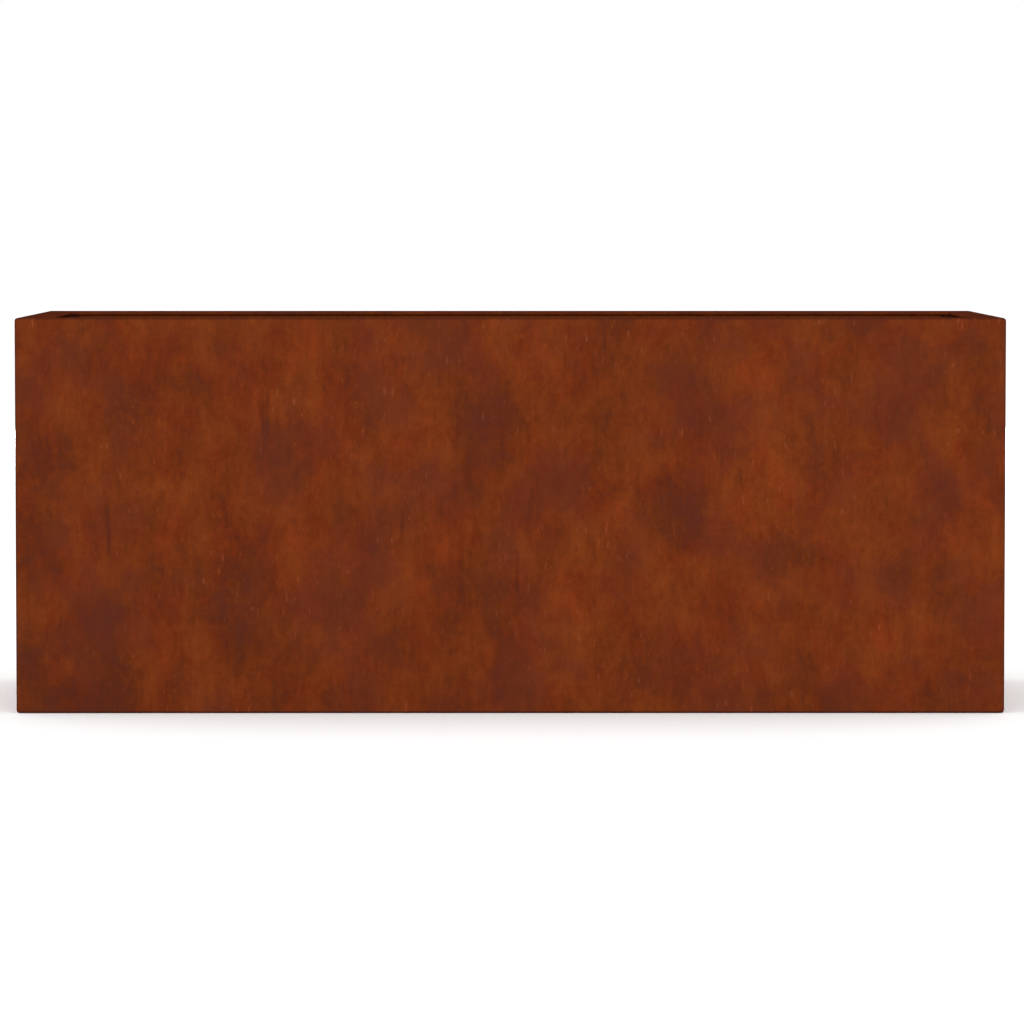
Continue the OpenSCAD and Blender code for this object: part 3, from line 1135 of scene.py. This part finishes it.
@dataclass
class Profile:
    """A turned part's half outline, foot first, drawn point by point."""

    points: list[Point2]
    reach: list[float]
    threaded: list[float]

    @classmethod
    def start(cls, radius: float, height: float) -> "Profile":
        """Begins at a radius and a height."""
        return cls([(radius, height)], [ENDLESS], [0.0])

    def to(self, radius: float, height: float, across: float = ENDLESS, threaded: float = 0.0) -> "Profile":
        """Goes on to a point, which may lie on a hexagon of that half width, or on a thread.

        Args:
            radius: the point's radius.
            height: its height.
            across: the hexagon's half width, or ENDLESS for a round.
            threaded: how deep the thread is cut there, from 0 to 1.

        Returns:
            This outline, so that calls can follow one another.
        """
        self.points.append((radius, height))
        self.reach.append(across)
        self.threaded.append(threaded)
        return self

    def flats(self, across: float, low: float, high: float) -> "Profile":
        """A hexagon of that half width from low to high, with both ends chamfered at 30 degrees.

        Args:
            across: half the width across flats.
            low: its foot.
            high: its top.

        Returns:
            This outline, so that calls can follow one another.
        """
        face, rows = across * 0.95, 4
        width = across / math.cos(math.pi / 6) - face
        drop = width * math.tan(math.pi / 6)
        steps = [(face + width * k / rows, drop * k / rows) for k in range(rows + 1)]
        side = [(r, low + z) for r, z in steps] + [(r, high - z) for r, z in reversed(steps)]
        for radius, height in side:
            self.to(radius, height, across)
        return self

    def thread(self, radius: float, low: float, high: float, pitch: float) -> "Profile":
        """A thread from low to high, faded in at its root and out at its tip.

        Args:
            radius: the thread's outer radius.
            low: where it starts.
            high: where it ends.
            pitch: its pitch.

        Returns:
            This outline, so that calls can follow one another.
        """
        per_turn = 6
        rows = max(2, round((high - low) / pitch * per_turn))
        for k in range(rows + 1):
            self.to(radius, low + (high - low) * k / rows, threaded=min(1.0, k / per_turn))
        return self

    def mesh(self, name: str, places: Sequence[Site]) -> Mesh:
        """The outline and the sites as one base mesh.

        Args:
            name: the mesh's name.
            places: the sites.

        Returns:
            Loose edges for the outline and loose points for the sites, told apart by attributes.
        """
        line, spots = len(self.points), len(places)
        made = bpy.data.meshes.new(name)
        verts = [(r, 0.0, z) for r, z in self.points] + [tuple(site.foot) for site in places]
        made.from_pydata(verts, [(k, k + 1) for k in range(line - 1)], [])
        columns = {
            "site": [0.0] * line + [1.0] * spots,
            "reach": [*self.reach, *[0.0] * spots],
            "threaded": [*self.threaded, *[0.0] * spots],
        }
        for label, values in columns.items():
            made.attributes.new(label, "FLOAT", "POINT").data.foreach_set("value", values)
        aims = [(0.0, 0.0, 1.0)] * line + [tuple(site.axis) for site in places]
        made.attributes.new("axis", "FLOAT_VECTOR", "POINT").data.foreach_set(
            "vector", np.array(aims, np.float32).ravel()
        )
        return made


def hex_nut(bore: float, across: float, height: float, sink: float) -> Profile:
    """A hexagon nut, chamfered on both faces, with a countersunk bore.

    Args:
        bore: the bore's radius.
        across: half the width across its flats.
        height: its height.
        sink: the countersinks' depth.

    Returns:
        Its half outline.
    """
    line = Profile.start(bore + sink, 0).flats(across, 0, height)
    return line.to(bore + sink, height).to(bore, height - sink).to(bore, sink).to(bore + sink, 0)


@dataclass(frozen=True)
class Turning:
    """How a turned part is cut: its facets, its thread, and whether each copy is spun at random."""

    around: int
    seed: int
    spin: float = 0.0
    depth: float = 0.0
    pitch: float = 1 * MM

    def grow(
        self, tree: Grower, name: str, profile: Profile, places: Sequence[Site], finish: Finish
    ) -> Piece:
        """Stands one on each site.

        Args:
            tree: the turned part's tree.
            name: the piece's name.
            profile: the half outline.
            places: the sites.
            finish: the surface finish.

        Returns:
            All of them as one piece.
        """
        values = {"Around": self.around, "Thread Depth": self.depth, "Thread Pitch": self.pitch}
        values |= {"Spin": self.spin, "Seed": self.seed}
        return tree.grow(name, profile.mesh(name, places), finish, values)


class Corner(Enum):
    """The box's four corners."""

    FRONT_LEFT = "front_left"
    FRONT_RIGHT = "front_right"
    REAR_LEFT = "rear_left"
    REAR_RIGHT = "rear_right"


@dataclass
class InnerFrame:
    """The L-shaped corner posts, the tie between the long walls and the tray that carries the soil."""

    edge: float = 0.25 * MM
    tie_edge: float = 0.2 * MM

    def build(self) -> None:
        """Makes the four posts, the tie and the tray."""
        for corner in Corner:
            node = f"{corner.value}_angle"
            piece = from_frame(f"{corner.value}_corner_post", node, FRAME_FINISH, self.edge)
            wear(piece, "box", "corten_frame", node)
        piece = from_frame("wall_tie", "cross_brace", FRAME_FINISH, self.tie_edge, clamp=True)
        wear(piece, "box", "corten_frame", "cross_brace")
        piece = from_frame("soil_tray", "drain_tray", TRAY_FINISH, self.edge)
        wear(piece, "box", "corten_tray", "drain_tray")


@dataclass
class Runners:
    """The three channels that stand on the foot returns and carry the tray."""

    sheet: float = 2 * MM
    fold_radius: float = 1 * MM
    edge: float = 0.25 * MM
    stations: int = 33

    def build(self, tree: Grower) -> None:
        """Makes the three channels.

        Args:
            tree: the folded sheet's tree.
        """
        for seed, place in enumerate(("left", "centre", "right")):
            node = f"{place}_runner"
            low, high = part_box(node)
            half, fold = (high.x - low.x) / 2, self.fold_radius + self.sheet
            leg = high.z - low.z - fold
            path = SheetPath((half, low.z), 90).flat(leg, steps=6).bend(90, fold)
            path.flat(2 * (half - fold), steps=8).bend(90, fold).flat(leg, steps=6)
            values = {
                "Length": high.y - low.y,
                "Flat Length": high.y - low.y,
                "Height": high.z,
                "Thickness": self.sheet,
                "Stations": self.stations,
                "Seed": 3.1 * seed,
            }
            turn = Matrix.Translation(((low.x + high.x) / 2, 0, 0)) @ Matrix.Rotation(math.pi / 2, 4, "Z")
            name = f"{place}_tray_runner"
            piece = tree.grow(name, path.mesh(node), FRAME_FINISH, values, edge=self.edge, turn=turn)
            wear(piece, "box", "corten_frame", node)


@dataclass
class Fasteners:
    """The welded studs of the walls, and the washers and nuts on them."""

    stud_radius: float = 3 * MM
    stud_length: float = 14 * MM
    flange_radius: float = 3.75 * MM
    flange_height: float = 0.8 * MM
    pitch: float = 1 * MM
    thread_depth: float = 0.5 * MM
    nut_half: float = 5 * MM
    nut_height: float = 5 * MM
    nut_sink: float = 0.4 * MM
    bore: float = 3.05 * MM
    washer_radius: float = 6 * MM
    washer_hole: float = 3.2 * MM
    washer_height: float = 1.6 * MM

    def build(self, tree: Grower) -> None:
        """Makes every set.

        Args:
            tree: the turned part's tree.
        """
        for seed, side in enumerate(WallSide):
            cut = Turning(
                around=24, seed=seed, spin=math.tau, depth=self.thread_depth, pitch=self.pitch
            )
            name, node = f"{side.label}_wall_studs", f"{side.label}_panel_studs"
            self._stand(tree, name, node, self._stud(), cut, True)
        nut = hex_nut(self.bore, self.nut_half, self.nut_height, self.nut_sink)
        groups = [(corner.value, corner.value) for corner in Corner] + [("brace", "wall_tie")]
        for seed, (group, label) in enumerate(groups):
            name, cut = f"{label}_plain_washers", Turning(around=40, seed=seed, spin=math.tau)
            self._stand(tree, name, f"{group}_washers", self._washer(), cut)
            name, cut = f"{label}_hex_nuts", Turning(around=48, seed=seed + 10, spin=math.tau)
            self._stand(tree, name, f"{group}_nuts", nut, cut)

    def _stand(
        self, tree: Grower, name: str, node: str, profile: Profile, cut: Turning, slender: bool = False
    ) -> None:
        """Stands a turned part on each solid of a frame node."""
        piece = cut.grow(tree, name, profile, sites(node, slender, upright=False), FASTENER_FINISH)
        wear(piece, "box", "stainless_fastener", node)

    def _stud(self) -> Profile:
        """A welded stud: a fused flange, a thread and a chamfered tip.

        Returns:
            Its half outline.
        """
        r, top, tip = self.stud_radius, self.stud_length, 0.75 * MM
        flange, thick = self.flange_radius, self.flange_height
        slump, ease, root, lead = 0.3 * MM, 0.25 * MM, 0.1 * MM, 0.2 * MM
        line = Profile.start(0, 0).to(flange, 0).to(flange, thick - slump)
        line.to(flange - ease, thick).to(r + root, thick)
        return line.thread(r, thick + lead, top - tip, self.pitch).to(r - tip, top).to(0, top)

    def _washer(self) -> Profile:
        """A plain washer, with one edge rolled by the punch.

        Returns:
            Its half outline.
        """
        hole, rim, top = self.washer_hole, self.washer_radius, self.washer_height
        roll = 0.25 * MM
        line = Profile.start(hole, 0).to(rim, 0).to(rim, top - roll).to(rim - roll * 0.3, top - roll * 0.3)
        return line.to(rim - roll, top).to(hole + roll * 0.5, top).to(hole, top - roll * 0.5).to(hole, 0)


@dataclass
class LevellingFeet:
    """The screw feet: bridge plates, their welded nuts, jam nuts, spindles and rubber pads."""

    pitch: float = 1.5 * MM
    thread_depth: float = 0.85 * MM
    nut_half: float = 8.5 * MM
    nut_bore: float = 5.05 * MM
    nut_sink: float = 0.6 * MM
    jam_height: float = 5 * MM
    weld_height: float = 8 * MM
    screw_radius: float = 5 * MM
    spanner_half: float = 7 * MM
    spanner_height: float = 5 * MM
    spanner_gap: float = 0.5 * MM
    disc_radius: float = 8 * MM
    disc_height: float = 2 * MM
    neck_radius: float = 6 * MM
    play: float = 0.08 * MM
    pad_radius: float = 25 * MM
    pad_height: float = 8 * MM
    pad_floor: float = 3 * MM
    pad_groove: float = 0.6 * MM
    pad_recess: float = 0.3 * MM
    plate_half: Point2 = (28 * MM, 24 * MM)
    plate_edge: float = 0.2 * MM
    bead: float = 1.1 * MM
    bead_step: float = 0.6 * MM
    ripple: float = 0.14
    ripples: float = 520.0

    def build(self, tree: Grower, welds: Grower) -> None:
        """Makes all the feet.

        Args:
            tree: the turned part's tree.
            welds: the weld bead's tree.
        """
        self._plates(welds)
        self._weld_nuts(tree, welds)
        node, name = "foot_jam_nuts", "foot_jam_hex_nuts"
        cut, nut = Turning(around=60, seed=3, spin=math.tau), self._nut(self.jam_height)
        piece = cut.grow(tree, name, nut, sites(node), FASTENER_FINISH)
        wear(piece, "box", "stainless_fastener", node)
        for seed, corner in enumerate(Corner):
            self._pad(tree, corner)
            self._spindle(tree, corner, seed)

    def _nut(self, height: float) -> Profile:
        """A hexagon nut for the levelling screws."""
        return hex_nut(self.nut_bore, self.nut_half, height, self.nut_sink)

    def _beads(self, welds: Grower, name: str, runs: list[list[Point3]], closed: bool) -> Piece:
        """Weld beads along lines of points.

        Args:
            welds: the tree that lays them.
            name: a name for the scratch mesh.
            runs: each bead's points.
            closed: True if each bead ends where it starts.

        Returns:
            The beads as one object.
        """
        verts = [point for run in runs for point in run]
        edges, first = [], 0
        for run in runs:
            last = len(run) if closed else len(run) - 1
            edges += [(first + k, first + (k + 1) % len(run)) for k in range(last)]
            first += len(run)
        mesh = bpy.data.meshes.new(name)
        mesh.from_pydata(verts, edges, [])
        values = {"Radius": self.bead, "Step": self.bead_step, "Seed": 2.0}
        values |= {"Ripple": self.ripple, "Ripples Per Metre": self.ripples}
        return welds.grow(name, mesh, FRAME_FINISH, values)

    def _plates(self, welds: Grower) -> None:
        """The four bridge plates, welded between the outer runners' legs.

        Args:
            welds: the weld bead's tree.
        """
        piece = from_frame("foot_bridge_plates", "foot_plates", FRAME_FINISH, self.plate_edge)
        low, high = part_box("foot_plates")
        half_x, half_y = self.plate_half
        sunk, inset, runs = 0.3 * self.bead, 0.45 * self.bead, []
        for site in sites("foot_plates"):
            for side in (-1, 1):
                x = site.foot.x + side * (half_x - inset)
                for z in (low.z - sunk, high.z + sunk):
                    runs.append([(x, site.foot.y - half_y, z), (x, site.foot.y + half_y, z)])
        merge(piece, self._beads(welds, "plate beads", runs, False))
        wear(piece, "box", "corten_frame", "foot_plates")

    def _weld_nuts(self, tree: Grower, welds: Grower) -> None:
        """The nuts on the plates, each with a bead round its foot.

        Args:
            tree: the turned part's tree.
            welds: the weld bead's tree.
        """
        node, name = "foot_weld_nuts", "foot_welded_hex_nuts"
        places = sites(node)
        cut, nut = Turning(around=60, seed=1), self._nut(self.weld_height)
        piece = cut.grow(tree, name, nut, places, FASTENER_FINISH)
        reach, raised = self.nut_half / math.cos(math.pi / 6) + 0.2 * self.bead, 0.3 * self.bead
        corners = [math.radians(60 * k) for k in range(6)]
        ring = [Vector((reach * math.cos(a), reach * math.sin(a), raised)) for a in corners]
        runs = [[tuple(site.foot + offset) for offset in ring] for site in places]
        merge(piece, self._beads(welds, "nut beads", runs, True))
        wear(piece, "box", "stainless_fastener", node)

    def _pad(self, tree: Grower, corner: Corner) -> None:
        """A rubber pad moulded round the spindle's disc, with a grooved rim and sole.

        Args:
            tree: the turned part's tree.
            corner: the foot's corner.
        """
        node, name = f"{corner.value}_foot_pad", f"{corner.value}_rubber_pad"
        rim, top, ease, cut = self.pad_radius, self.pad_height, 1 * MM, self.pad_groove
        line = Profile.start(0, 0)
        # three grooves round the sole, one round the rim and a shallow recess round the neck
        for ring in (8, 14, 20):
            for offset, depth in ((-1.2, 0), (-0.7, cut), (0.7, cut), (1.2, 0)):
                line.to((ring + offset) * MM, depth)
        line.to(rim - ease, 0).to(rim, ease)
        for height, depth in ((2.8, 0), (3.2, cut), (4.8, cut), (5.2, 0)):
            line.to(rim - depth, height * MM)
        line.to(rim, top - ease).to(rim - ease, top)
        for radius, depth in ((12, 0), (11.6, self.pad_recess), (8.4, self.pad_recess), (8, 0)):
            line.to(radius * MM, top - depth)
        neck, disc = self.neck_radius + self.play, self.disc_radius + self.play
        roof = self.pad_floor + self.disc_height + 2 * self.play
        line.to(neck, top).to(neck, roof).to(disc, roof).to(disc, self.pad_floor).to(0, self.pad_floor)
        piece = Turning(around=72, seed=5).grow(tree, name, line, sites(node), RUBBER_FINISH)
        wear(piece, f"{corner.value}_pad", "foot_pad", node)

    def _spindle(self, tree: Grower, corner: Corner, seed: int) -> None:
        """A levelling screw: its disc and neck, a spanner hexagon and the thread.

        Args:
            tree: the turned part's tree.
            corner: the foot's corner.
            seed: its number.
        """
        node, name = f"{corner.value}_foot_spindle", f"{corner.value}_levelling_spindle"
        low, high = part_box(node)
        top, r, tip, ease = high.z - low.z, self.screw_radius, 1.25 * MM, 0.2 * MM
        disc, thick, neck = self.disc_radius, self.disc_height, self.neck_radius
        hexagon = self.pad_height + self.spanner_gap - self.pad_floor - self.play
        shank = hexagon + self.spanner_height
        line = Profile.start(0, 0).to(disc - ease, 0).to(disc, ease)
        line.to(disc, thick - ease).to(disc - ease, thick).to(neck, thick).to(neck, hexagon)
        line.flats(self.spanner_half, hexagon, shank).to(r, shank)
        line.thread(r, shank + ease, top - tip, self.pitch).to(r - tip, top).to(0, top)
        cut = Turning(around=48, seed=seed, depth=self.thread_depth, pitch=self.pitch)
        piece = cut.grow(tree, name, line, sites(node), FASTENER_FINISH)
        wear(piece, f"{corner.value}_spindle", "stainless_fastener", node)


def merge(piece: Piece, other: Piece) -> None:
    """Adds another object's mesh to a piece, with its materials, and drops the other object.

    Args:
        piece: the piece that grows.
        other: the object whose mesh is added.
    """
    shift = len(piece.data.materials)
    joined = bmesh.new()
    joined.from_mesh(piece.data)
    first = len(joined.faces)
    joined.from_mesh(other.data)
    joined.faces.ensure_lookup_table()
    for face in joined.faces[first:]:
        face.material_index += shift
        face.smooth = True
    joined.to_mesh(piece.data)
    joined.free()
    for material in other.data.materials:
        piece.data.materials.append(material)
    bpy.data.objects.remove(other)


# --- studio --------------------------------------------------------------------------------------


@dataclass
class Studio:
    """A pale floor, a white surround, soft lights and the camera.

    Places are in metres, angles in degrees, and the lens and the film in millimetres.
    """

    eye: Point3 = (-0.0075, -5.477, 0.503)
    pitch: float = 3.2426
    yaw: float = 0.099
    lens: float = 183.9
    film: float = 36.0
    sight: float = 200.0
    sun_power: float = 0.6
    sun_spread: float = 80.0
    sun_tilt: float = 42.0
    sun_turn: float = -12.0
    softbox_power: float = 190.0
    softbox_size: Point2 = (4.0, 0.5)
    softbox_away: float = 7.0
    softbox_height: float = 0.74
    softbox_tilt: float = 87.0
    floor_half: float = 40.0
    floor_drop: float = 0.2 * MM

    def build(self) -> None:
        """Makes all of it."""
        self._floor()
        self._surround()
        self._sun()
        for quarter in range(4):
            self._softbox(90 * quarter)
        self._camera()

    def _floor(self) -> None:
        """A wide flat floor."""
        mesh = bpy.data.meshes.new("studio_floor")
        half, low = self.floor_half, -self.floor_drop
        ring = [(-half, -half, low), (half, -half, low), (half, half, low), (-half, half, low)]
        mesh.from_pydata(ring, [], [(0, 1, 2, 3)])
        mesh.materials.append(FLOOR_FINISH.material())
        floor = bpy.data.objects.new("studio_floor", mesh)
        bpy.context.scene.collection.objects.link(floor)

    def _surround(self) -> None:
        """Even white light from everywhere."""
        world = bpy.data.worlds.new("surround")
        world.use_nodes = True
        world.node_tree.nodes.clear()
        graph = Graph(world.node_tree)
        light = graph.add("ShaderNodeBackground", {}, {"Color": (1.0, 1.0, 1.0, 1.0), "Strength": 1.0})
        graph.add("ShaderNodeOutputWorld", {}, {0: light})
        bpy.context.scene.world = world
        bpy.context.scene.view_settings.view_transform = "Standard"

    @staticmethod
    def _place(data: bpy.types.ID, at: Point3, tilt: float, turn: float) -> Piece:
        """Puts a light or a camera in the scene.

        Args:
            data: the light or the camera.
            at: its place.
            tilt: degrees up from straight down.
            turn: degrees about the upright.

        Returns:
            Its object.
        """
        placed = bpy.data.objects.new(data.name, data)
        placed.location = at
        placed.rotation_euler = (math.radians(tilt), 0.0, math.radians(turn))
        bpy.context.scene.collection.objects.link(placed)
        return placed

    def _sun(self) -> None:
        """A very wide, soft light from in front and above, as from a bank of diffusers."""
        data = bpy.data.lights.new("diffusers", "SUN")
        data.energy = self.sun_power
        data.angle = math.radians(self.sun_spread)
        self._place(data, (0.0, 0.0, 0.0), self.sun_tilt, self.sun_turn)

    def _softbox(self, turn: float) -> None:
        """A long softbox on one side, low enough to reach in under the far rim.

        Args:
            turn: the side it stands on, in degrees round from the front.
        """
        data = bpy.data.lights.new("softbox", "AREA")
        data.shape = "RECTANGLE"
        data.size, data.size_y = self.softbox_size
        data.energy = self.softbox_power
        side, away = math.radians(turn), self.softbox_away
        at = (away * math.sin(side), -away * math.cos(side), self.softbox_height)
        self._place(data, at, self.softbox_tilt, turn)

    def _camera(self) -> None:
        """A long lens far in front, a little above the rim."""
        data = bpy.data.cameras.new("camera")
        data.lens = self.lens
        data.sensor_width = self.film
        data.clip_end = self.sight
        bpy.context.scene.camera = self._place(data, self.eye, 90 - self.pitch, -self.yaw)


def main() -> None:
    """Builds each sub-assembly in turn."""
    logging.basicConfig(level=logging.INFO, format="%(name)s: %(message)s", stream=sys.stdout)
    sheets, turned, welds = sheet_grower(), turned_grower(), bead_grower()
    Studio().build()
    Walls().build(sheets)
    InnerFrame().build()
    Runners().build(sheets)
    Fasteners().build(turned)
    LevellingFeet().build(turned, welds)


if __name__ == "__main__":
    main()
